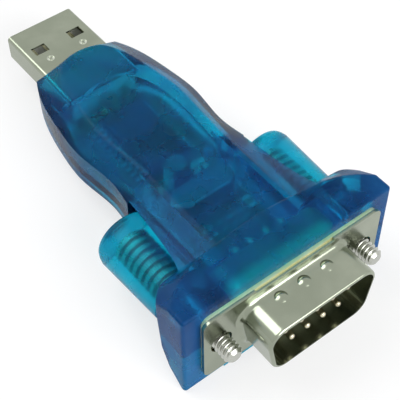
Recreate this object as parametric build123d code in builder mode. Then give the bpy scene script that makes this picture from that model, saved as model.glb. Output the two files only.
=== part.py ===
from build123d import *
import math
import os

os.makedirs("parts", exist_ok=True)

# USB to serial adapter, in millimetres.
# X runs across, Y from the serial plug back to the USB plug, Z up.
# The origin is the centre of the front face of the serial plug's metal flange.

# Serial plug: nine pins in a D-shaped shell with an upper row of five and a lower row of four
flange_side_margin = 2.905
flange_edge_margin = 1.625
flange_corner = 1.2
flange_notch_width = 13.6
flange_notch_depth = 0.35
sheet = 0.5
shell_width = 18.6
shell_height = 9.3
shell_corner = 2.6
shell_depth = 5.9
shell_lean = 10.0
shell_root = 0.9
shell_rim = 0.4
bump_radius = 0.95
bump_rise = 0.34
bump_spacing = 4.0
bump_back = 1.7
rear_flange_inset = 0.3
rear_box_margin = 0.8
rear_box_wall = 0.4
rear_box_length = 5.3
insulator_length = 6.4
insulator_gap = 0.05
pin_pitch = 2.77
pin_row_gap = 2.84
pin_radius = 0.5
pin_reach = 4.8
pin_hole_gap = 0.03
cup_radius = 0.65
cup_length = 3.0
cup_bore_radius = 0.4
cup_cut_width = 0.8
cup_cut_length = 2.1
screw_margin = 3.2
screw_hole_radius = 1.75

# Thumbscrews: steel screws with plastic knobs moulded on
thread_radius = 1.42
thread_reach = 3.0
thread_tip_radius = 0.9
thread_tip_length = 0.6
neck_radius = 1.2
neck_start = 0.2
bore_clearance = 0.08
collar_radius = 2.1
collar_length = 0.8
collar_clearance = 0.35
core_root_radius = 1.7
core_ring_radius = 2.25
core_ring_pitch = 1.3
core_ring_land = 0.65
core_rings = 8
knob_radius = 4.8
knob_front_radius = 4.25
knob_length = 13.5
knob_gap = 0.3
knob_rim_length = 1.3
knob_rim_step = 0.12
knob_rounding = 0.7
core_end_wall = 1.6

# Housing: two translucent shells that meet in the plane of the screw axes
bezel_side_margin = 2.595
bezel_top_margin = 1.725
bezel_bottom_margin = 2.725
bezel_rounding = 0.5
# Depth of the bezel behind its front, at these shares of its half width
bezel_shares = (1.0, 0.94, 0.88, 0.8, 0.68, 0.45, 0.0)
bezel_rim = (2.6, 3.6, 4.5, 5.4, 6.3, 7.1, 7.75)
bezel_shoulder = (5.6, 6.8, 7.55, 7.8, 7.95, 8.1, 8.6)
bezel_shoulder_drop = 1.8
bezel_shoulder_height = 3.2
# Under the shoulder it thins towards its foot: height over the foot, and share of the shoulder's depth
bezel_flank = ((5.7, 0.88), (2.4, 0.6), (0.0, 0.14))
roof_z = 7.3
crease_z = 4.3
lower_crease_z = -1.5
floor_z = -4.5
wall = 1.5
edge_rounding = 0.7
boss_end = 8.3
pocket_clearance = 0.3
pocket_behind = 1.5
ramp_length = 5.4
plug_pocket_gap = 0.15
chamber_half_width = 6.45
chamber_top = 5.6

# Plan outlines of the housing's right flank, from the bezel to the nose, as (x, y)
crease_side = [(15.5, 8.0), (13.0, 12.0), (11.5, 18.0), (10.5, 23.8), (10.0, 28.0), (10.75, 35.5),
               (10.3, 41.5), (9.0, 48.5), (7.4, 52.3)]
roof_side = [(6.4, 8.0), (6.4, 18.0), (6.7, 27.0), (7.2, 36.0), (6.3, 42.5), (5.0, 47.7), (3.4, 50.3)]
roof_tip = 51.3
crease_tip = 53.0
skirt_tip = 55.2
floor_tip = 53.4
skirt_side = crease_side[:-2] + [(8.8, 48.7), (6.9, 53.4)]
floor_side = roof_side[:-1] + [(3.8, 52.2)]
chamber_front = 24.8
chamber_side = [(8.1, chamber_front), (8.5, 29.0), (9.1, 35.5), (8.6, 41.5), (7.0, 45.0)]
chamber_tip = 45.8
cellar_side = [(7.0, chamber_front), (7.3, 29.0), (7.9, 35.5), (7.4, 41.5), (6.0, 45.0)]
ceiling_side = [(5.6, chamber_front), (5.9, 29.0), (6.0, 34.0), (5.5, 38.5), (4.2, 42.0)]
ceiling_tip = 44.2

# USB plug
plug_width = 12.0
plug_height = 4.5
plug_sheet = 0.3
plug_corner = 0.6
plug_rear = 44.5
plug_length = 18.7
plug_slot_gap = 0.1
window_width = 2.4
window_length = 1.85
window_spacing = 6.6
window_back = 5.58
mark_spacing = 6.1
mark_back = 8.3
mark_radius = 0.55
mark_depth = 0.12
leg_length = 2.4
leg_front = 2.7
tongue_height = 1.8
tongue_inset = 0.6
rear_block_length = 2.3
side_play = 0.1
contact_width = 1.0
contact_sheet = 0.25
contact_positions = [-3.5, -1.0, 1.0, 3.5]
contact_inset = 1.2
contact_foot = 1.2
contact_stand_off = 0.65

# Circuit board
board_top = 0.35
board_thickness = 1.0
board_start = 7.3
board_half_width = 7.8
board_neck_half_width = 5.9
board_tongue_half_width = 5.6
board_tongue_end = 49.0
board_shoulder = 43.6
board_rear_corner = (1.4, 2.8)
board_waist_step = (0.8, 1.2)
board_front_clearance = 0.6
board_bevel = 1.0
saddle_inset = 1.2
tongue_recess_gap = 0.2
locator_x = 6.3
locator_y = 26.6
locator_radius = 0.75
locator_gap = 0.1
locator_collar = 1.35
locator_height = 0.5
rest_radius = 0.9
rear_rest = (6.9, 40.6)
front_rest = (4.4, 16.0)

# Parts on the board
bridge_length = 12.8
bridge_width = 7.5
bridge_height = 2.3
bridge_y = 34.4
bridge_leads = 10
level_length = 9.9
level_width = 3.9
level_height = 1.5
level_y = 34.0
level_leads = 8
lead_pitch = 1.27
lead_width = 0.42
lead_sheet = 0.22
lead_stand_off = 0.12
bridge_span = 10.3
level_span = 6.0
crystal_length = 11.2
crystal_width = 4.7
crystal_height = 3.5
crystal_rim = 0.4
crystal_y = 19.8
can_radius = 2.0
can_height = 4.5
can_x = -1.0
can_y = 24.7
chip_capacitor = (1.25, 2.0, 0.85)
capacitor_places = [(2.4, 24.9), (4.0, 24.9), (-4.2, 24.6), (-4.6, 15.1), (4.6, 15.1)]
chip_resistor = (0.8, 1.6, 0.45)
resistor_places = [(-2.7, 14.2), (-0.9, 14.2), (0.9, 14.2), (2.7, 14.2)]

# Places that follow from the sizes above
screw_x = shell_width / 2 + screw_margin
flange_width = 2 * (screw_x + flange_side_margin)
flange_height = shell_height + 2 * flange_edge_margin
bezel_half_width = flange_width / 2 + bezel_side_margin
bezel_top = flange_height / 2 + bezel_top_margin
bezel_bottom = -flange_height / 2 - bezel_bottom_margin
bezel_shoulder_z = bezel_top - bezel_shoulder_drop
row_z = pin_row_gap / 2
bezel_front = 2 * sheet
pocket_depth = sheet + insulator_length + insulator_gap
board_bottom = board_top - board_thickness
plug_z = board_top + plug_height / 2
plug_tip = plug_rear + plug_length
tongue_top = board_top + plug_sheet + tongue_height
knob_start = boss_end + knob_gap
knob_end = knob_start + knob_length
shoulder_z = crease_z - wall / 4
pocket_radius = knob_radius + pocket_clearance
pocket_end = knob_end + pocket_behind
rear_width = shell_width + rear_box_margin
rear_height = shell_height + 2 * rear_box_margin
box_drop = rear_height / 2 + plug_pocket_gap + wall


def across(y):
    """Upright plane at y that faces the serial end, with X to the right and Z up."""
    return Plane(origin=(0, y, 0), x_dir=(1, 0, 0), z_dir=(0, -1, 0))


def save(builder, name):
    builder.part.label = name
    export_step(builder.part, f"parts/{name}.step")


def d_shape(width, height, radius):
    """Rounded trapezoid with its wide side up; the width is measured over the rounded corners."""
    lost = 2 * radius * (1 / math.tan(math.radians(45 - shell_lean / 2)) - 1)
    with BuildSketch() as outline:
        Trapezoid(width + lost, height, 90 + shell_lean)
        fillet(outline.vertices(), radius)
    return outline.sketch


def plan_section(side, tip):
    """Plan outline that is square at the serial end, with curved flanks and an arched nose."""
    mirrored = [(-x, y) for x, y in reversed(side)]
    with BuildSketch() as section:
        with BuildLine():
            Spline(*side)
            ThreePointArc(side[-1], (0, tip), mirrored[0])
            Spline(*mirrored)
            Line(mirrored[-1], side[0])
        make_face()
    return section.sketch


def bezel_section(depths, share=1.0):
    """Plan outline of the bezel, with a rear edge that swells towards its middle."""
    half = [(part * bezel_half_width, bezel_front + share * depth) for part, depth in zip(bezel_shares, depths)]
    rear = half + [(-x, y) for x, y in reversed(half[:-1])]
    with BuildSketch() as section:
        with BuildLine():
            Spline(*rear)
            Polyline(rear[-1], (-bezel_half_width, bezel_front), (bezel_half_width, bezel_front), rear[0])
        make_face()
    return section.sketch


# The outer form of the housing, before it is parted into two covers
with BuildPart() as housing_form:
    for lower, upper in (((skirt_side, skirt_tip, 0), (crease_side, crease_tip, crease_z)),
                         ((crease_side, crease_tip, crease_z), (roof_side, roof_tip, roof_z)),
                         ((skirt_side, skirt_tip, lower_crease_z), (skirt_side, skirt_tip, 0)),
                         ((floor_side, floor_tip, floor_z), (skirt_side, skirt_tip, lower_crease_z))):
        for side, tip, z in (lower, upper):
            with BuildSketch(Plane.XY.offset(z)):
                add(plan_section(side, tip))
        loft(ruled=True)
    roof_edges = housing_form.edges().filter_by_position(Axis.Z, roof_z, roof_z).sort_by(Axis.Y)[1:]
    floor_edges = housing_form.edges().filter_by_position(Axis.Z, floor_z, floor_z).sort_by(Axis.Y)[1:]
    fillet(roof_edges + floor_edges, edge_rounding)

    # Bezel: it thickens from its foot to a shoulder, and slopes forward again to its top face
    levels = [(bezel_top, bezel_section(bezel_rim)), (bezel_shoulder_z, bezel_section(bezel_shoulder)),
              (bezel_shoulder_z - bezel_shoulder_height, bezel_section(bezel_shoulder))]
    levels += [(bezel_bottom + height, bezel_section(bezel_shoulder, share)) for height, share in bezel_flank]
    for upper, lower in zip(levels, levels[1:]):
        for z, section in (lower, upper):
            with BuildSketch(Plane.XY.offset(z)):
                add(section)
        loft(ruled=True)
    bezel_edges = [edge for edge in housing_form.edges()
                   if abs(abs(edge.center().X) - bezel_half_width) < 0.01
                   or abs(edge.center().Z - bezel_top) < 0.01
                   or abs(edge.center().Z - bezel_bottom) < 0.01
                   or abs(edge.center().Y - bezel_front) < 0.01]
    fillet(bezel_edges, bezel_rounding)

    # Housing of the plug's rear box under the parting plane, and the ramp from it to the floor
    for front, back, width, drop in ((bezel_front, boss_end, rear_width + 2 * wall, (-bezel_bottom, box_drop)),
                                     (boss_end, boss_end + ramp_length, 2 * chamber_half_width + wall,
                                      (box_drop, -floor_z - 0.1))):
        for y, depth in ((front, drop[0]), (back, drop[1])):
            with BuildSketch(across(y)):
                with Locations((0, -depth / 2)):
                    Rectangle(width, depth)
        loft(ruled=True)

    # Bosses in line with the knobs, then the pockets that the knobs turn in
    with BuildSketch(across(boss_end)):
        with Locations((-screw_x, 0), (screw_x, 0)):
            Circle(knob_front_radius)
    extrude(amount=boss_end - bezel_front)
    with BuildSketch(across(pocket_end)):
        with Locations((-screw_x, 0), (screw_x, 0)):
            Circle(pocket_radius)
    extrude(amount=pocket_end - boss_end, mode=Mode.SUBTRACT)

    # Screw bores, with a counterbore for the collar that keeps each screw captive
    with BuildSketch(across(boss_end)):
        with Locations((-screw_x, 0), (screw_x, 0)):
            Circle(thread_radius + bore_clearance)
    extrude(amount=boss_end, mode=Mode.SUBTRACT)
    with BuildSketch(across(bezel_front + collar_length + 2 * collar_clearance)):
        with Locations((-screw_x, 0), (screw_x, 0)):
            Circle(collar_radius + collar_clearance)
    extrude(amount=collar_length + 2 * collar_clearance, mode=Mode.SUBTRACT)

    # Pocket for the serial plug's rear box, and the narrow chamber behind it
    with BuildSketch(across(pocket_depth)):
        Rectangle(rear_width + 2 * plug_pocket_gap, rear_height + 2 * plug_pocket_gap)
    extrude(amount=pocket_depth, mode=Mode.SUBTRACT)
    with BuildSketch(across(chamber_front + 1)):
        with Locations((0, (chamber_top + floor_z + wall) / 2)):
            Rectangle(2 * chamber_half_width, chamber_top - floor_z - wall)
    extrude(amount=chamber_front + 1 - pocket_depth, mode=Mode.SUBTRACT)

with BuildPart() as top_cover:
    add(housing_form.part)
    split(bisect_by=Plane.XY, keep=Keep.TOP)
    with BuildSketch():
        add(plan_section(chamber_side, chamber_tip))
    extrude(amount=shoulder_z, mode=Mode.SUBTRACT)
    for side, tip, z in ((chamber_side, chamber_tip, shoulder_z), (ceiling_side, ceiling_tip, roof_z - wall)):
        with BuildSketch(Plane.XY.offset(z)):
            add(plan_section(side, tip))
    loft(ruled=True, mode=Mode.SUBTRACT)
    # Slot that grips the USB plug
    with BuildSketch(across(skirt_tip + 1)):
        with Locations((0, plug_z)):
            RectangleRounded(plug_width + 2 * plug_slot_gap, plug_height + 2 * plug_slot_gap, plug_corner)
        with Locations((0, plug_z / 2)):
            Rectangle(plug_width + 2 * plug_slot_gap, plug_z)
    extrude(amount=skirt_tip + 1 - plug_rear + 1, mode=Mode.SUBTRACT)
save(top_cover, "top_cover")

with BuildPart() as bottom_cover:
    add(housing_form.part)
    split(bisect_by=Plane.XY, keep=Keep.BOTTOM)
    for side, z in ((cellar_side, floor_z + wall), (chamber_side, lower_crease_z)):
        with BuildSketch(Plane.XY.offset(z)):
            add(plan_section(side, chamber_tip))
    loft(ruled=True, mode=Mode.SUBTRACT)
    with BuildSketch(Plane.XY.offset(lower_crease_z)):
        add(plan_section(chamber_side, chamber_tip))
    extrude(amount=-lower_crease_z, mode=Mode.SUBTRACT)
    # Recess for the board's tongue under the USB plug, and the saddle in front of it
    with BuildSketch(Plane.XY.offset(board_bottom)):
        with Locations((0, (board_tongue_end + board_shoulder) / 2)):
            Rectangle(plug_width + 4 * plug_slot_gap,
                      board_tongue_end - board_shoulder + 2 * tongue_recess_gap)
    extrude(amount=-board_bottom, mode=Mode.SUBTRACT)
    saddle_start = board_tongue_end + tongue_recess_gap
    with BuildSketch(Plane.XY):
        saddle_end = skirt_tip - saddle_inset
        with Locations((0, (saddle_start + saddle_end) / 2)):
            Rectangle(plug_width - 2 * plug_slot_gap, saddle_end - saddle_start)
    extrude(amount=board_top - plug_slot_gap)
    # Rests under the board and the pegs that locate it
    with BuildSketch(Plane.XY.offset(floor_z + wall)):
        with Locations((-locator_x, locator_y), (locator_x, locator_y)):
            Circle(locator_collar)
        with Locations((-rear_rest[0], rear_rest[1]), rear_rest, (-front_rest[0], front_rest[1]), front_rest):
            Circle(rest_radius)
    extrude(amount=board_bottom - floor_z - wall)
    with BuildSketch(Plane.XY.offset(board_bottom)):
        with Locations((-locator_x, locator_y), (locator_x, locator_y)):
            Circle(locator_radius)
    extrude(amount=board_thickness + locator_height)
save(bottom_cover, "bottom_cover")

# Serial plug
with BuildPart() as de9_front_shell:
    with BuildSketch(across(sheet)):
        RectangleRounded(flange_width, flange_height, flange_corner)
        with Locations((0, flange_height / 2), (0, -flange_height / 2)):
            Rectangle(flange_notch_width, 2 * flange_notch_depth, mode=Mode.SUBTRACT)
        with Locations((-screw_x, 0), (screw_x, 0)):
            Circle(screw_hole_radius, mode=Mode.SUBTRACT)
    extrude(amount=sheet)
    with BuildSketch(across(0)):
        add(d_shape(shell_width, shell_height, shell_corner))
    extrude(amount=shell_depth)
    root_edges = de9_front_shell.edges().filter_by_position(Axis.Y, 0, 0).filter_by(
        lambda edge: abs(edge.center().X) < shell_width / 2 and abs(edge.center().Z) < shell_height / 2 + 0.1)
    fillet(root_edges, shell_root)
    fillet(de9_front_shell.edges().filter_by_position(Axis.Y, -shell_depth, -shell_depth), shell_rim)
    with BuildSketch(across(sheet)):
        add(d_shape(shell_width - 2 * sheet, shell_height - 2 * sheet, shell_corner - sheet))
    extrude(amount=shell_depth + sheet, mode=Mode.SUBTRACT)
    # Grounding bumps: three on top and two below, each the cap of a ball
    ball_radius = (bump_radius ** 2 + bump_rise ** 2) / (2 * bump_rise)
    sunk = ball_radius - bump_rise
    bumps = [(i * bump_spacing, -bump_back, shell_height / 2 - sunk) for i in (-1, 0, 1)]
    bumps += [(i * bump_spacing, -bump_back, -shell_height / 2 + sunk) for i in (-0.5, 0.5)]
    for bump in bumps:
        with Locations(bump):
            with BuildPart(mode=Mode.PRIVATE) as ball:
                Sphere(ball_radius)
                outside = Plane.XY.offset(math.copysign(sunk - 0.1, bump[2]))
                split(bisect_by=outside, keep=Keep.TOP if bump[2] > 0 else Keep.BOTTOM)
        add(ball.part.moved(Location(bump)))
save(de9_front_shell, "de9_front_shell")

with BuildPart() as de9_rear_shell:
    with BuildSketch(across(bezel_front)):
        RectangleRounded(flange_width - 2 * rear_flange_inset, flange_height, flange_corner)
        with Locations((-screw_x, 0), (screw_x, 0)):
            Circle(screw_hole_radius, mode=Mode.SUBTRACT)
    extrude(amount=sheet)
    with BuildSketch(across(bezel_front + rear_box_length)):
        add(d_shape(rear_width, rear_height, shell_corner))
    extrude(amount=rear_box_length)
    with BuildSketch(across(bezel_front + rear_box_length)):
        add(d_shape(rear_width - 2 * rear_box_wall, rear_height - 2 * rear_box_wall,
                    shell_corner - rear_box_wall))
    extrude(amount=rear_box_length + sheet, mode=Mode.SUBTRACT)
save(de9_rear_shell, "de9_rear_shell")

upper_pins = [(pin_pitch * (i - 2), row_z) for i in range(5)]
lower_pins = [(pin_pitch * (i - 1.5), -row_z) for i in range(4)]

with BuildPart() as de9_insulator:
    with BuildSketch(across(sheet)):
        face_width = shell_width - 2 * sheet - 2 * insulator_gap
        face_height = shell_height - 2 * sheet - 2 * insulator_gap
        add(d_shape(face_width, face_height, shell_corner - sheet))
    extrude(amount=sheet)
    with BuildSketch(across(sheet + insulator_length)):
        inner_width = rear_width - 2 * rear_box_wall - 2 * insulator_gap
        inner_height = rear_height - 2 * rear_box_wall - 2 * insulator_gap
        add(d_shape(inner_width, inner_height, shell_corner - rear_box_wall))
    extrude(amount=insulator_length)
    with BuildSketch(across(sheet + insulator_length)):
        with Locations(*upper_pins, *lower_pins):
            Circle(pin_radius + pin_hole_gap)
    extrude(amount=sheet + insulator_length, mode=Mode.SUBTRACT)
save(de9_insulator, "de9_insulator")

# Pins 1 to 5 are the upper row and 6 to 9 the lower; each ends in a cup soldered to the board
for number, (x, z) in enumerate(upper_pins + lower_pins, start=1):
    cup_start = sheet + insulator_length
    board_face = board_top if z > 0 else board_bottom
    with BuildPart() as pin:
        with BuildSketch(across(cup_start)):
            with Locations((x, z)):
                Circle(pin_radius)
        extrude(amount=cup_start + pin_reach)
        fillet(pin.edges().sort_by(Axis.Y)[0], pin_radius * 0.9)
        with BuildSketch(across(cup_start + cup_length)):
            with Locations((x, z)):
                Circle(cup_radius)
        extrude(amount=cup_length)
        foot_length = cup_start + cup_length - board_start
        with BuildSketch(across(cup_start + cup_length)):
            with Locations((x, (z + board_face) / 2)):
                Rectangle(2 * pin_radius, abs(z - board_face))
        extrude(amount=foot_length)
        with BuildSketch(across(cup_start + cup_length)):
            with Locations((x, z)):
                Circle(cup_bore_radius)
            with Locations((x, z + math.copysign(cup_radius, z))):
                Rectangle(cup_cut_width, 2 * cup_radius)
        extrude(amount=cup_cut_length, mode=Mode.SUBTRACT)
    save(pin, f"de9_pin_{number}")

# USB plug
with BuildPart() as usb_shell:
    with BuildSketch(across(plug_tip)):
        with Locations((0, plug_z)):
            RectangleRounded(plug_width, plug_height, plug_corner)
            RectangleRounded(plug_width - 2 * plug_sheet, plug_height - 2 * plug_sheet,
                             plug_corner - plug_sheet, mode=Mode.SUBTRACT)
    extrude(amount=plug_length)
    with BuildSketch(Plane.XY.offset(board_top)):
        with Locations((-window_spacing / 2, plug_tip - window_back), (window_spacing / 2, plug_tip - window_back)):
            Rectangle(window_width, window_length)
    extrude(amount=plug_height, mode=Mode.SUBTRACT)
    with BuildSketch(Plane.XY.offset(board_top + plug_height)):
        with Locations((-mark_spacing / 2, plug_tip - mark_back), (mark_spacing / 2, plug_tip - mark_back)):
            Circle(mark_radius)
            Circle(mark_radius / 2, mode=Mode.SUBTRACT)
    extrude(amount=-mark_depth, mode=Mode.SUBTRACT)
    # Solder legs that straddle the board's tongue
    with BuildSketch(Plane.XY.offset(board_bottom + plug_slot_gap / 2)):
        leg_x = (plug_width - plug_sheet) / 2
        with Locations((-leg_x, plug_rear + leg_front), (leg_x, plug_rear + leg_front)):
            Rectangle(plug_sheet, leg_length)
    extrude(amount=board_thickness - plug_slot_gap / 2 + plug_height / 2)
save(usb_shell, "usb_shell")

with BuildPart() as usb_insulator:
    inner_half = plug_width / 2 - plug_sheet
    shelf = board_top + plug_sheet
    with BuildSketch(across(plug_tip - tongue_inset)):
        with Locations((0, shelf + tongue_height / 2)):
            RectangleRounded(2 * (inner_half - side_play), tongue_height, plug_corner - plug_sheet)
    extrude(amount=plug_length - tongue_inset)
    with BuildSketch(across(plug_rear + rear_block_length)):
        with Locations((0, plug_z)):
            RectangleRounded(2 * (inner_half - side_play), plug_height - 2 * plug_sheet,
                             plug_corner - plug_sheet)
    extrude(amount=rear_block_length)
    with BuildSketch(across(plug_tip - contact_inset)):
        with Locations(*[(x, tongue_top) for x in contact_positions]):
            Rectangle(contact_width, 2 * (contact_sheet - side_play / 2))
    extrude(amount=plug_length - contact_inset, mode=Mode.SUBTRACT)
save(usb_insulator, "usb_insulator")

for number, x in enumerate(contact_positions, start=1):
    with BuildPart() as contact:
        with BuildSketch(Plane.YZ.offset(x - contact_width / 2)):
            contact_bottom = tongue_top - contact_sheet + side_play / 2
            heel = plug_rear - contact_stand_off
            with BuildLine():
                Polyline((plug_tip - contact_inset, contact_bottom),
                         (heel + contact_sheet, contact_bottom),
                         (heel + contact_sheet, board_top),
                         (heel - contact_foot, board_top),
                         (heel - contact_foot, board_top + contact_sheet),
                         (heel, board_top + contact_sheet),
                         (heel, contact_bottom + contact_sheet),
                         (plug_tip - contact_inset, contact_bottom + contact_sheet),
                         close=True)
            make_face()
        extrude(amount=contact_width)
    save(contact, f"usb_contact_{number}")

# Circuit board, waisted between the knobs and narrow under the USB plug
waist = chamber_front - board_front_clearance
board_half = [(board_neck_half_width, board_start), (board_neck_half_width, waist),
              (board_half_width - board_waist_step[0], waist + board_bevel),
              (board_half_width, waist + board_bevel + board_waist_step[1]),
              (board_half_width, board_shoulder - board_rear_corner[1]),
              (board_half_width - board_rear_corner[0], board_shoulder),
              (board_tongue_half_width, board_shoulder), (board_tongue_half_width, board_tongue_end)]
with BuildPart() as circuit_board:
    with BuildSketch(Plane.XY.offset(board_bottom)):
        with BuildLine():
            Polyline(*board_half, *[(-x, y) for x, y in reversed(board_half)], close=True)
        make_face()
        with Locations((-locator_x, locator_y), (locator_x, locator_y)):
            Circle(locator_radius + locator_gap, mode=Mode.SUBTRACT)
    extrude(amount=board_thickness)
save(circuit_board, "circuit_board")


def chip_body(y, width, length, height, base_z):
    """Moulded chip body with drafted edges; a negative height hangs it under the board."""
    middle = base_z + height / 2
    with BuildPart() as body:
        for side in (1, -1):
            with BuildSketch(Plane.XY.offset(middle)):
                with Locations((0, y)):
                    Rectangle(width, length)
            extrude(amount=side * abs(height) / 2, taper=8)
    return body


def chip_leads(y, span, width, height, base_z, foot_z, count):
    """Two rows of gull-wing leads from the middle of a chip's flanks down to the board."""
    middle = base_z + height / 2
    up = math.copysign(lead_sheet, height)
    knee = span / 2 - 0.95
    with BuildPart() as leads:
        for i in range(count):
            start = y + (i - (count - 1) / 2) * lead_pitch - lead_width / 2
            for side in (-1, 1):
                with BuildSketch(Plane.XZ.offset(-start)):
                    with BuildLine():
                        Polyline((side * width / 2, middle),
                                 (side * (knee + lead_sheet), middle),
                                 (side * (knee + lead_sheet), foot_z + up),
                                 (side * span / 2, foot_z + up),
                                 (side * span / 2, foot_z),
                                 (side * knee, foot_z),
                                 (side * knee, middle - up),
                                 (side * width / 2, middle - up),
                                 close=True)
                    make_face()
                extrude(amount=-lead_width)
    return leads


bridge_base = board_top + lead_stand_off
save(chip_body(bridge_y, bridge_width, bridge_length, bridge_height, bridge_base), "bridge_chip")
save(chip_leads(bridge_y, bridge_span, bridge_width, bridge_height, bridge_base, board_top, bridge_leads),
     "bridge_chip_leads")
level_base = board_bottom - lead_stand_off
save(chip_body(level_y, level_width, level_length, -level_height, level_base), "level_chip")
save(chip_leads(level_y, level_span, level_width, -level_height, level_base, board_bottom, level_leads),
     "level_chip_leads")

with BuildPart() as crystal_can:
    with BuildSketch(Plane.XY.offset(board_top)):
        with Locations((0, crystal_y)):
            SlotOverall(crystal_length, crystal_width)
    extrude(amount=crystal_rim)
    with BuildSketch(Plane.XY.offset(board_top + crystal_rim)):
        with Locations((0, crystal_y)):
            SlotOverall(crystal_length - 2 * crystal_rim, crystal_width - 2 * crystal_rim)
    extrude(amount=crystal_height - crystal_rim)
    fillet(crystal_can.edges().group_by(Axis.Z)[-1], crystal_rim)
save(crystal_can, "crystal_can")

with BuildPart() as reservoir_capacitor:
    with BuildSketch(Plane.XY.offset(board_top)):
        with Locations((can_x, can_y)):
            Circle(can_radius)
    extrude(amount=can_height)
    fillet(reservoir_capacitor.edges().group_by(Axis.Z)[-1], can_radius * 0.15)
save(reservoir_capacitor, "reservoir_capacitor")

for name, places, (width, length, height) in (("chip_capacitors", capacitor_places, chip_capacitor),
                                              ("chip_resistors", resistor_places, chip_resistor)):
    with BuildPart() as blocks:
        with BuildSketch(Plane.XY.offset(board_top)):
            with Locations(*places):
                Rectangle(width, length)
        extrude(amount=height)
    save(blocks, name)


def screw_profile():
    """Half section of a thumbscrew's steel core as (radius, y)."""
    collar_start = bezel_front + collar_clearance
    points = [(0, -thread_reach), (thread_tip_radius, -thread_reach),
              (thread_radius, -thread_reach + thread_tip_length),
              (thread_radius, -neck_start), (neck_radius, -neck_start),
              (neck_radius, collar_start), (collar_radius, collar_start),
              (collar_radius, collar_start + collar_length), (thread_radius, collar_start + collar_length)]
    first_ring = knob_end - core_end_wall - core_rings * core_ring_pitch
    points += [(thread_radius, first_ring - core_ring_pitch / 2)]
    for i in range(core_rings):
        start = first_ring + i * core_ring_pitch
        slope = (core_ring_pitch - core_ring_land) / 4
        points += [(core_root_radius, start), (core_ring_radius, start + slope),
                   (core_ring_radius, start + slope + core_ring_land),
                   (core_root_radius, start + 2 * slope + core_ring_land)]
    end = knob_end - core_end_wall
    return points + [(core_root_radius, end), (0, end)]


def knob_profile():
    """Half section of a knob as (radius, y), with a slightly smaller rounded rim at the back."""
    rim = knob_end - knob_rim_length
    rim_radius = knob_radius - knob_rim_step
    return [(0, knob_start), (knob_front_radius - knob_rounding / 2, knob_start),
            (knob_front_radius, knob_start + knob_rounding / 2), (knob_radius, rim),
            (rim_radius, rim + knob_rim_step),
            (rim_radius, knob_end - knob_rounding), (rim_radius - 0.3 * knob_rounding, knob_end - 0.3 * knob_rounding),
            (rim_radius - knob_rounding, knob_end), (0, knob_end)]


for side, x in (("left", -screw_x), ("right", screw_x)):
    screw_axis = Axis((x, 0, 0), (0, 1, 0))
    with BuildPart() as screw:
        with BuildSketch(Plane.XY):
            with BuildLine():
                Polyline(*[(x + r, y) for r, y in screw_profile()], close=True)
            make_face()
        revolve(axis=screw_axis)
    save(screw, f"{side}_screw")
    with BuildPart() as knob:
        with BuildSketch(Plane.XY):
            with BuildLine():
                Polyline(*[(x + r, y) for r, y in knob_profile()], close=True)
            make_face()
        revolve(axis=screw_axis)
        add(screw.part, mode=Mode.SUBTRACT)
    save(knob, f"{side}_knob")
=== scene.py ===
import math

import bmesh
import bpy
from mathutils import Euler, Matrix, Vector


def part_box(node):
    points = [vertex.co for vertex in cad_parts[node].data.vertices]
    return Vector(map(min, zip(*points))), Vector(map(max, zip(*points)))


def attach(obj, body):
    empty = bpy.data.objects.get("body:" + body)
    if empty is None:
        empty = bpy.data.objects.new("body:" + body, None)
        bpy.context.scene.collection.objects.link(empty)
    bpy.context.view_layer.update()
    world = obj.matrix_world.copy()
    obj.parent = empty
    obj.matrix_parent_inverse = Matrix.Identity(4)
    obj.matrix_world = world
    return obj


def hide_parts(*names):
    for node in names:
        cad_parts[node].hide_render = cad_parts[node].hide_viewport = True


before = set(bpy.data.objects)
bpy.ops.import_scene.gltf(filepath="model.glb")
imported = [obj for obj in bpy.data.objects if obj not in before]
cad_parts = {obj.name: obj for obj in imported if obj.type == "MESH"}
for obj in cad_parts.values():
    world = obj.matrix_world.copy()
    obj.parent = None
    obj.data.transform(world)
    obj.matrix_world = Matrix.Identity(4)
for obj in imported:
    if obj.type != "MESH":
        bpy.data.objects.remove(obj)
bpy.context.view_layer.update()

# Lengths are metres, unless they are written as a number times MM
MM = 0.001

# The camera, solved from the two plugs' standard sizes in the photograph
CAMERA_PLACE = (-0.056693, -0.054329, 0.114667)
CAMERA_TURN_DEGREES = (39.3285, 0.6621, -37.9082)
CAMERA_LENS, CAMERA_FILM = 91.73, 36

# The lamps: name, place, diameter and watts; they point at the middle of the adapter
LAMPS = (("key", (-0.16, 0.24, 0.40), 0.40, 1.4), ("fill", (0.05, -0.45, 0.22), 0.40, 2.4))
LAMP_TARGET = (0, 0.03, 0)

# The adapter stands on the foot of its bezel and on the far end of its underside
BEZEL_FOOT = (0, 2.064 * MM, -9.0 * MM)
UNDERSIDE_END = (0, 53.0 * MM, -4.5 * MM)
FLOOR_REACH = 3.0

# The screws' steel parts, as radii and as places along Y
SCREW_X = 12.5 * MM
TIP, ROOT, CREST, COLLAR = 0.0009, 0.00108, 0.00142, 0.0021
THREAD_PITCH = 0.000635
THREAD_END, COLLAR_FRONT, COLLAR_BACK, SHANK_BACK = 0.0012, 0.00135, 0.00215, 0.0092
GROOVE, RING = 0.0017, 0.00225
RING_PITCH, RING_WIDTH, RING_COUNT = 0.0013, 0.00065, 8


def place_camera():
    data = bpy.data.cameras.new("camera")
    data.lens = CAMERA_LENS
    data.sensor_width = CAMERA_FILM
    data.clip_start = 5 * MM
    camera = bpy.data.objects.new("camera", data)
    camera.location = CAMERA_PLACE
    camera.rotation_euler = Euler([math.radians(a) for a in CAMERA_TURN_DEGREES])
    bpy.context.collection.objects.link(camera)
    bpy.context.scene.camera = camera


# Node trees

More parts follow.
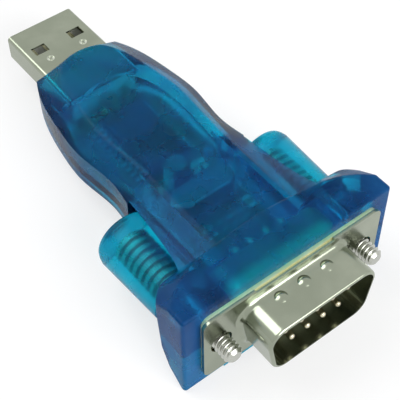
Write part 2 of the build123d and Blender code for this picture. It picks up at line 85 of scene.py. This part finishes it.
class Wire:
    """An output of a node that can stand in a sum or a product."""

    def __init__(self, bench, socket):
        self.bench = bench
        self.socket = socket

    def _math(self, operation, *values):
        return self.bench.node("ShaderNodeMath", dict(enumerate(values)), operation=operation)

    def __add__(self, other):
        return self._math("ADD", self, other)

    def __sub__(self, other):
        return self._math("SUBTRACT", self, other)

    def __rsub__(self, other):
        return self._math("SUBTRACT", other, self)

    def __mul__(self, other):
        return self._math("MULTIPLY", self, other)

    def __truediv__(self, other):
        return self._math("DIVIDE", self, other)

    def __gt__(self, other):
        return self._math("GREATER_THAN", self, other)

    def __lt__(self, other):
        return self._math("LESS_THAN", self, other)

    def __pow__(self, other):
        return self._math("POWER", self, other)

    def __abs__(self):
        return self._math("ABSOLUTE", self)

    __radd__ = __add__

    def part(self):
        return self._math("FRACT", self)

    def sine(self):
        return self._math("SINE", self)

    def cosine(self):
        return self._math("COSINE", self)

    def least(self, other):
        return self._math("MINIMUM", self, other)

    def most(self, other):
        return self._math("MAXIMUM", self, other)

    def ramp(self, low, high, smooth=True):
        """Rises from zero at the low value to one at the high value."""
        kind = "SMOOTHSTEP" if smooth else "LINEAR"
        return self.bench.node("ShaderNodeMapRange", {0: self, 1: low, 2: high}, interpolation_type=kind)

    def beside(self, name):
        """Another output of the same node."""
        return Wire(self.bench, self.socket.node.outputs[name])


class Bench:
    """A node tree that is put together one node at a time."""

    def __init__(self, tree):
        self.tree = tree

    def node(self, kind, sockets=None, output=0, **settings):
        """Adds a node with its settings and its inputs, and returns one output."""
        made = self.tree.nodes.new(kind)
        for name, value in settings.items():
            setattr(made, name, value)
        for name, value in (sockets or {}).items():
            if isinstance(value, Wire):
                self.link(value, made.inputs[name])
            else:
                made.inputs[name].default_value = value
        return Wire(self, made.outputs[output]) if made.outputs else made

    def link(self, wire, target):
        self.tree.links.new(wire.socket, target)

    def blend(self, share, first, second):
        """Colour between the first and the second."""
        first, second = ((*colour, 1) if isinstance(colour, tuple) else colour for colour in (first, second))
        return self.node("ShaderNodeMix", {0: share, 6: first, 7: second}, output=2, data_type="RGBA")

    def mix(self, share, first, second):
        """Shader between the first and the second."""
        return self.node("ShaderNodeMixShader", {0: share, 1: first, 2: second})

    def axes(self, place):
        """The three numbers of a place or a direction."""
        x = self.node("ShaderNodeSeparateXYZ", {0: place})
        return x, x.beside("Y"), x.beside("Z")

    def shows(self):
        """One for the rays that show the background itself: to the eye, off metal and through glass."""
        eye = self.node("ShaderNodeLightPath", output="Is Camera Ray")
        return eye.most(eye.beside("Is Glossy Ray")).most(eye.beside("Is Transmission Ray"))


class Finish(Bench):
    """A material for one finish, with its patterns in the object's own coordinates."""

    def __init__(self, name, **constants):
        self.material = bpy.data.materials.new(name)
        self.material.use_nodes = True
        super().__init__(self.material.node_tree)
        self.shader = self.tree.nodes["Principled BSDF"]
        self.surface = Wire(self, self.shader.outputs[0])
        self.out = self.tree.nodes["Material Output"].inputs
        for socket, value in constants.items():
            self.set(socket.replace("_", " "), value)
        self.place = self.node("ShaderNodeTexCoord", output="Object")

    def set(self, socket, value):
        """Gives the shader a wire, a colour of three numbers or a plain value."""
        target = self.shader.inputs[socket]
        if isinstance(value, Wire):
            self.link(value, target)
        else:
            target.default_value = (*value, 1) if isinstance(value, tuple) else value

    def noise(self, scale, detail=2.0, stretch=None):
        place = self.place
        if stretch:
            place = self.node("ShaderNodeMapping", {"Vector": self.place, "Scale": stretch})
        return self.node("ShaderNodeTexNoise", {"Vector": place, "Scale": scale, "Detail": detail,
                                                "Roughness": 0.5})

    def bump(self, height, strength, distance):
        self.set("Normal", self.node("ShaderNodeBump", {"Height": height, "Strength": strength,
                                                        "Distance": distance}))


def distance(x, y, centre=(0, 0)):
    """Distance from the upright line through the centre."""
    return ((x - centre[0]) ** 2 + (y - centre[1]) ** 2) ** 0.5


# Finishes

def blue_moulding(name, tint, depth):
    """Cloudy blue moulding with a satin skin: clear turquoise that lets light through, and a deep blue haze in it."""
    f = Finish(name, Base_Color=tint, Transmission_Weight=1.0, IOR=1.20, Specular_Tint=(0.5, 0.7, 1.0),
               Specular_IOR_Level=0.30)
    cloud = f.noise(160, 3)
    f.set("Roughness", 0.22 + cloud * 0.10)
    f.bump(f.noise(2400, 1) * 0.02 + f.noise(160, 0.0), 0.11, 0.0014)
    haze = f.node("ShaderNodeBsdfPrincipled", {"Base Color": (0.009, 0.085, 0.28, 1), "Roughness": 0.5,
                                               "Specular IOR Level": 0.1})
    # The bezel is the thickest, so it is hazier all over; the extra haze at its ends, and more there below the
    # parting plane, is painted shade on its lower ends
    x, y, z = f.axes(f.place)
    bezel = 1 - y.ramp(5 * MM, 9 * MM)
    end = abs(x).ramp(11 * MM, 15 * MM)
    below = 1 - z.ramp(-1 * MM, 1 * MM)
    thick_and_shade = bezel * (0.07 + end * (0.20 + below * 0.16))
    share = 0.10 + f.noise(190, 1.5).ramp(0.36, 0.66) * 0.17 + thick_and_shade
    f.link(f.mix(share, f.surface, haze), f.out["Surface"])
    drink = f.node("ShaderNodeVolumeAbsorption", {"Color": (0.0, 0.6, 0.8, 1), "Density": depth})
    f.link(drink, f.out["Volume"])
    return f.material


def nickel_plate():
    """Bright nickel on drawn sheet: a faint grain along the draw, soft handling marks, and a painted highlight on the
    rings of two stamps.
    """
    f = Finish("nickel_plate", Metallic=1.0)
    grain = f.noise(900, 3, stretch=(1, 0.06, 1))
    marks = f.noise(140, 4)
    sheet = f.blend(marks.ramp(0.35, 0.75), (0.28, 0.31, 0.24), (0.35, 0.38, 0.30))
    x, y, z = f.axes(f.place)
    reach = distance(abs(x), y, (3.05 * MM, 54.9 * MM))
    # The rings of the two stamps get a lighter colour: a painted highlight
    painted_stamp_highlight = (reach > 0.24 * MM) * (reach < 0.62 * MM) * (z > 1.5 * MM)
    f.set("Base Color", f.blend(painted_stamp_highlight, sheet, (0.54, 0.57, 0.49)))
    f.set("Roughness", 0.13 + marks * 0.10 + grain * 0.06)
    f.bump(grain, 0.06, 0.00002)
    return f.material


def chromate_plate():
    """Yellow chromate on sheet steel with its drift of colour, and painted shade where it stands behind the flange.
    """
    f = Finish("chromate_plate", Metallic=1.0)
    drift = f.noise(220, 3)
    chromate_tone = f.blend(drift.ramp(0.3, 0.7), (0.80, 0.76, 0.42), (0.88, 0.86, 0.58))
    _, y, _ = f.axes(f.place)
    # Painted shade: darker from 2.5 mm to 4.5 mm back, behind the flange
    f.set("Base Color", f.blend(y.ramp(2.5 * MM, 4.5 * MM), chromate_tone, (0.26, 0.26, 0.18)))
    f.set("Roughness", 0.42 + drift * 0.14)
    f.bump(f.noise(2600, 2), 0.05, 0.00002)
    return f.material


def gold_flash():
    f = Finish("gold_flash", Metallic=1.0)
    rub = f.noise(700, 3)
    f.set("Base Color", f.blend(rub.ramp(0.35, 0.7), (0.46, 0.42, 0.30), (0.58, 0.54, 0.40)))
    f.set("Roughness", 0.18 + rub * 0.12)
    return f.material


def screw_steel():
    """Turned steel, bright at the thread and dull on the core inside the knob."""
    f = Finish("screw_steel", Metallic=1.0)
    turning = f.noise(600, 2, stretch=(0.2, 6, 0.2))
    f.set("Base Color", f.blend(turning, (0.40, 0.41, 0.37), (0.55, 0.56, 0.51)))
    _, y, _ = f.axes(f.place)
    core = y.ramp(8.5 * MM, 9.5 * MM)
    f.set("Roughness", 0.14 + turning * 0.14 + core * (0.34 + turning * 0.20))
    return f.material


def can_steel():
    f = Finish("can_steel", Metallic=1.0)
    drawn = f.noise(1500, 3, stretch=(1, 1, 0.05))
    f.set("Base Color", f.blend(drawn, (0.16, 0.20, 0.22), (0.26, 0.30, 0.32)))
    f.set("Roughness", 0.24 + drawn * 0.14)
    f.bump(drawn, 0.05, 0.00002)
    return f.material


def tinned_lead():
    f = Finish("tinned_lead", Metallic=1.0)
    dull = f.noise(2500, 3)
    f.set("Base Color", f.blend(dull, (0.38, 0.39, 0.40), (0.52, 0.52, 0.52)))
    f.set("Roughness", 0.22 + dull * 0.16)
    return f.material


def pin_carrier():
    """Olive glass-filled moulding that holds the pins."""
    f = Finish("pin_carrier")
    fibre = f.noise(1800, 4)
    f.set("Base Color", f.blend(fibre, (0.20, 0.21, 0.155), (0.27, 0.28, 0.21)))
    f.set("Roughness", 0.42 + fibre * 0.18)
    f.bump(fibre, 0.10, 0.00004)
    return f.material


def white_moulding():
    f = Finish("white_moulding")
    flow = f.noise(320, 3)
    f.set("Base Color", f.blend(flow, (0.74, 0.74, 0.70), (0.84, 0.84, 0.80)))
    f.set("Roughness", 0.38 + flow * 0.14)
    f.bump(f.noise(3000, 2), 0.06, 0.00003)
    return f.material


def green_board():
    """Solder mask over copper tracks, bare laminate on the sawn edge."""
    f = Finish("green_board", Coat_Roughness=0.12)
    x, _, _ = f.axes(f.place)
    rows = (x * 620 + f.noise(90, 1) * 3.0).part()
    tracks = abs(rows - 0.5).ramp(0.26, 0.30)
    lands = f.node("ShaderNodeTexVoronoi", {"Vector": f.place, "Scale": 330.0, "Randomness": 0.55})
    vias = 1 - lands.ramp(0.10, 0.13)
    copper = tracks.most(vias)
    mask = f.blend(copper, (0.008, 0.060, 0.040), (0.020, 0.120, 0.070))
    _, _, upward = f.axes(f.node("ShaderNodeNewGeometry", output="Normal"))
    flat = abs(upward) > 0.7
    f.set("Base Color", f.blend(flat, (0.30, 0.27, 0.14), mask))
    f.set("Roughness", 0.34 - flat * 0.08)
    f.set("Coat Weight", flat * 0.6)
    f.bump(copper, 0.35, 0.00004)
    return f.material


def chip_compound(dot, radius):
    """Black moulding compound, dull, with the round dimple beside lead one; its place and radius are in metres."""
    f = Finish("chip_compound")
    grit = f.noise(2600, 4)
    x, y, _ = f.axes(f.place)
    dimple = 1 - distance(x, y, dot).ramp(radius * 0.9, radius)
    f.set("Base Color", f.blend(grit, (0.012, 0.012, 0.013), (0.032, 0.032, 0.034)))
    f.set("Roughness", 0.50 + grit * 0.16 - dimple * 0.2)
    f.bump(grit * 0.25 - dimple, 0.4, 0.00008)
    return f.material


def capacitor_sleeve():
    """Shrunk plastic sleeve with a pale polarity stripe and a bare aluminium top."""
    f = Finish("capacitor_sleeve")
    x, y, z = f.axes(f.place)
    low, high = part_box("reservoir_capacitor")
    middle = ((low[0] + high[0]) / 2, (low[1] + high[1]) / 2)
    top = z > high[2] - 0.05 * MM
    bare = top * (1 - distance(x, y, middle).ramp(1.50 * MM, 1.56 * MM))
    cross = ((abs(x - middle[0]) < 0.08 * MM) + (abs(y - middle[1]) < 0.08 * MM)).least(1.0)
    stripe = (x < middle[0] - 1.5 * MM) * (1 - top)
    sleeve = f.blend(stripe, (0.110, 0.018, 0.022), (0.55, 0.52, 0.47))
    f.set("Base Color", f.blend(bare, sleeve, (0.22, 0.22, 0.23)))
    f.set("Metallic", bare)
    f.set("Roughness", 0.30 + f.noise(900, 3) * 0.12)
    f.bump(bare * cross * -1.0, 0.5, 0.0001)
    return f.material


def capped_chips(name, node, body, cap_length):
    """Little block parts with tinned caps at both ends of each part along Y."""
    f = Finish(name)
    _, y, _ = f.axes(f.place)
    grain = f.noise(2200, 3)
    margin = 0.01 * MM
    caps = None
    for start, end in piece_spans(node):
        here = ((y > start - margin) * (y < start + cap_length)).most((y > end - cap_length) * (y < end + margin))
        caps = here if caps is None else caps.most(here)
    f.set("Base Color", f.blend(caps, body, (0.72, 0.72, 0.70)))
    f.set("Metallic", caps)
    f.set("Roughness", 0.42 - caps * 0.14 + grain * 0.1)
    f.bump(grain, 0.06, 0.00003)
    return f.material


def piece_spans(node):
    """Distinct extents along Y of the loose parts in one node."""
    bench = bmesh.new()
    bench.from_mesh(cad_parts[node].data)
    bmesh.ops.remove_doubles(bench, verts=bench.verts, dist=1e-7)
    seen, spans = set(), set()
    for first in bench.verts:
        if first in seen:
            continue
        seen.add(first)
        group, queue = [], [first]
        while queue:
            current = queue.pop()
            group.append(current.co.y)
            for edge in current.link_edges:
                other = edge.other_vert(current)
                if other not in seen:
                    seen.add(other)
                    queue.append(other)
        spans.add((round(min(group), 6), round(max(group), 6)))
    bench.free()
    return sorted(spans)


# Threaded screws

def thread_tree():
    """Surface of a threaded shank along Y: a grid rolled up, its radius following the thread."""
    tree = bpy.data.node_groups.new("threaded_shank", "GeometryNodeTree")
    tree.interface.new_socket("Geometry", in_out="OUTPUT", socket_type="NodeSocketGeometry")
    for name, value in (("Crest Radius", CREST), ("Root Radius", ROOT), ("Pitch", THREAD_PITCH),
                        ("Start", -0.003), ("End", THREAD_END), ("Tip Radius", TIP), ("Axis X", 0.0)):
        tree.interface.new_socket(name, in_out="INPUT", socket_type="NodeSocketFloat").default_value = value
    tree.interface.new_socket("Finish", in_out="INPUT", socket_type="NodeSocketMaterial")
    b = Bench(tree)
    given = b.node("NodeGroupInput")
    size = {socket.name: given.beside(socket.name) for socket in given.socket.node.outputs if socket.name}
    grid = b.node("GeometryNodeMeshGrid", {"Size X": 1.0, "Size Y": 1.0, "Vertices X": 49,
                                           "Vertices Y": 161})
    across, up, _ = b.axes(b.node("GeometryNodeInputPosition"))
    turn, rise = across + 0.5, up + 0.5
    y = size["Start"] + rise * (size["End"] - size["Start"])
    wave = abs((y / size["Pitch"] + turn).part() - 0.5) * 2
    flank = wave.ramp(0.12, 0.88, smooth=False)
    threaded = size["Root Radius"] + flank * (size["Crest Radius"] - size["Root Radius"])
    chamfer = size["Tip Radius"] + (y - size["Start"])
    radius = threaded.least(chamfer)
    angle = turn * (2 * math.pi)
    point = b.node("ShaderNodeCombineXYZ", {"X": size["Axis X"] + radius * angle.cosine(), "Y": y,
                                            "Z": radius * angle.sine()})
    rolled = b.node("GeometryNodeSetPosition", {"Geometry": grid, "Position": point})
    closed = b.node("GeometryNodeMergeByDistance", {"Geometry": rolled, "Distance": 1e-7})
    plain = b.node("GeometryNodeRealizeInstances", {"Geometry": closed})
    dressed = b.node("GeometryNodeSetMaterial", {"Geometry": plain, "Material": size["Finish"]})
    b.node("NodeGroupOutput", {"Geometry": dressed})
    return tree


def grow(tree, name, values):
    """Runs a geometry tree with the given inputs and returns its result as a plain mesh."""
    holder = bpy.data.objects.new(name + "_holder", bpy.data.meshes.new(name + "_holder"))
    bpy.context.collection.objects.link(holder)
    modifier = holder.modifiers.new("grow", "NODES")
    modifier.node_group = tree
    for item in tree.interface.items_tree:
        if item.in_out == "INPUT" and item.name in values:
            modifier[item.identifier] = values[item.name]
    graph = bpy.context.evaluated_depsgraph_get()
    mesh = bpy.data.meshes.new_from_object(holder.evaluated_get(graph))
    mesh.name = name
    bpy.data.objects.remove(holder)
    return mesh


def turned(bench, profile, x, segments=64):
    """Adds a form turned about the line through x along Y; the profile is a list of (radius, y)."""
    rings = []
    for radius, y in profile:
        if radius == 0:
            rings.append([bench.verts.new((x, y, 0))])
        else:
            rings.append([bench.verts.new((x + radius * math.cos(a), y, radius * math.sin(a)))
                          for a in (2 * math.pi * i / segments for i in range(segments))])
    for first, second in zip(rings, rings[1:]):
        for i in range(segments):
            j = (i + 1) % segments
            corners = [first[i % len(first)], first[j % len(first)], second[j % len(second)],
                       second[i % len(second)]]
            unique = list(dict.fromkeys(corners))
            if len(unique) > 2:
                bench.faces.new(unique)


def screw_profile(end):
    """Profile behind the thread: collar, shank and the ringed core inside the knob."""
    profile = [(ROOT, THREAD_END - 0.1 * MM), (1.4 * MM, THREAD_END), (CREST, COLLAR_FRONT),
               (COLLAR, COLLAR_FRONT), (COLLAR, COLLAR_BACK), (CREST, COLLAR_BACK), (CREST, SHANK_BACK)]
    first = end - RING_COUNT * RING_PITCH
    slope = (RING_PITCH - RING_WIDTH) / 4
    profile.append((CREST, first - RING_PITCH / 2))
    for i in range(RING_COUNT):
        start = first + i * RING_PITCH
        profile += [(GROOVE, start), (RING, start + slope), (RING, start + slope + RING_WIDTH),
                    (GROOVE, start + 2 * slope + RING_WIDTH)]
    return profile + [(GROOVE, end), (0, end)]


def make_screw(side, x, tree, finish):
    """Whole steel screw, from its threaded tip to the end of its core."""
    low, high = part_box(side + "_screw")
    thread = grow(tree, side + "_thread", {"Start": low[1], "End": THREAD_END, "Axis X": x, "Finish": finish})
    bench = bmesh.new()
    bench.from_mesh(thread)
    turned(bench, [(0, low[1]), (TIP, low[1])], x)
    turned(bench, screw_profile(high[1]), x)
    bmesh.ops.remove_doubles(bench, verts=bench.verts, dist=1e-7)
    bmesh.ops.recalc_face_normals(bench, faces=bench.faces)
    mesh = bpy.data.meshes.new(side + "_threaded_screw")
    bench.to_mesh(mesh)
    bench.free()
    mesh.materials.clear()
    mesh.materials.append(finish)
    mesh.shade_smooth()
    mesh.set_sharp_from_angle(angle=math.radians(32))
    screw = bpy.data.objects.new(side + "_threaded_screw", mesh)
    bpy.context.collection.objects.link(screw)
    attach(screw, side + "_thumbscrew")
    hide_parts(side + "_screw")


# Studio

def floor_paper():
    """Pale paper that takes the shadow; to the eye it is near white, and far off it is the background's own white."""
    f = Finish("floor_paper", Base_Color=(0.93, 0.93, 0.93), Roughness=0.9, Specular_IOR_Level=0.1)
    x, y, _ = f.axes(f.place)
    far = distance(x, y).ramp(0.25, 0.9)
    bright = f.node("ShaderNodeBsdfPrincipled", {
        "Base Color": f.blend(far, (0.32, 0.32, 0.32), (0.0, 0.0, 0.0)),
        "Emission Color": f.blend(far, (0.67, 0.67, 0.67), (1.0, 1.0, 1.0)), "Emission Strength": 1.0,
        "Roughness": 0.9, "Specular IOR Level": 0.1})
    f.link(f.mix(f.shows(), f.surface, bright), f.out["Surface"])
    return f.material


def white_floor():
    front, back = Vector(BEZEL_FOOT), Vector(UNDERSIDE_END)
    tilt = math.atan2(back.z - front.z, back.y - front.y)
    bench = bmesh.new()
    bmesh.ops.create_grid(bench, x_segments=1, y_segments=1, size=FLOOR_REACH)
    turn = Matrix.Translation(front) @ Matrix.Rotation(tilt, 4, "X")
    bmesh.ops.transform(bench, matrix=turn, verts=bench.verts)
    mesh = bpy.data.meshes.new("floor")
    bench.to_mesh(mesh)
    bench.free()
    mesh.materials.append(floor_paper())
    floor = bpy.data.objects.new("floor", mesh)
    bpy.context.collection.objects.link(floor)


def soft_light():
    """Dim daylight all round, a white background, and two lamps."""
    world = bpy.data.worlds.new("studio")
    bpy.context.scene.world = world
    world.use_nodes = True
    b = Bench(world.node_tree)
    light = b.node("ShaderNodeBackground", {"Color": (0.80, 0.82, 0.84, 1), "Strength": 0.45})
    white = b.node("ShaderNodeBackground", {"Color": (1, 1, 1, 1), "Strength": 1.0})
    b.link(b.mix(b.shows(), light, white), world.node_tree.nodes["World Output"].inputs["Surface"])
    for name, place, size, power in LAMPS:
        data = bpy.data.lights.new(name, "AREA")
        data.shape = "DISK"
        data.size = size
        data.energy = power
        lamp = bpy.data.objects.new(name, data)
        lamp.location = place
        lamp.rotation_euler = (Vector(LAMP_TARGET) - Vector(place)).to_track_quat("-Z", "Y").to_euler()
        bpy.context.collection.objects.link(lamp)


def dress(finishes):
    """Gives each node of the frame its finish."""
    for node, finish in finishes.items():
        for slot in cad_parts[node].material_slots:
            slot.material = finish


bpy.context.scene.view_settings.view_transform = "Standard"
place_camera()
white_floor()
soft_light()

blue = blue_moulding("blue_moulding", (0.012, 0.80, 0.95), 190.0)
knob_blue = blue_moulding("knob_moulding", (0.014, 0.86, 0.96), 115.0)
nickel, gold, lead, steel = nickel_plate(), gold_flash(), tinned_lead(), screw_steel()
dress({
    "top_cover": blue, "bottom_cover": blue, "left_knob": knob_blue, "right_knob": knob_blue,
    "usb_shell": nickel, "de9_front_shell": nickel, "de9_rear_shell": chromate_plate(),
    "de9_insulator": pin_carrier(), "usb_insulator": white_moulding(), "circuit_board": green_board(),
    "bridge_chip": chip_compound((-2.6 * MM, 40.0 * MM), 0.55 * MM),
    "level_chip": chip_compound((1.2 * MM, 38.2 * MM), 0.4 * MM),
    "bridge_chip_leads": lead, "level_chip_leads": lead,
    "crystal_can": can_steel(), "reservoir_capacitor": capacitor_sleeve(),
    "chip_capacitors": capped_chips("ceramic_chips", "chip_capacitors", (0.30, 0.21, 0.13), 0.45 * MM),
    "chip_resistors": capped_chips("resistor_chips", "chip_resistors", (0.018, 0.018, 0.020), 0.32 * MM),
    **{f"usb_contact_{i}": gold for i in range(1, 5)},
    **{f"de9_pin_{i}": gold for i in range(1, 10)},
})

threads = thread_tree()
for side, x in (("left", -SCREW_X), ("right", SCREW_X)):
    make_screw(side, x, threads, steel)
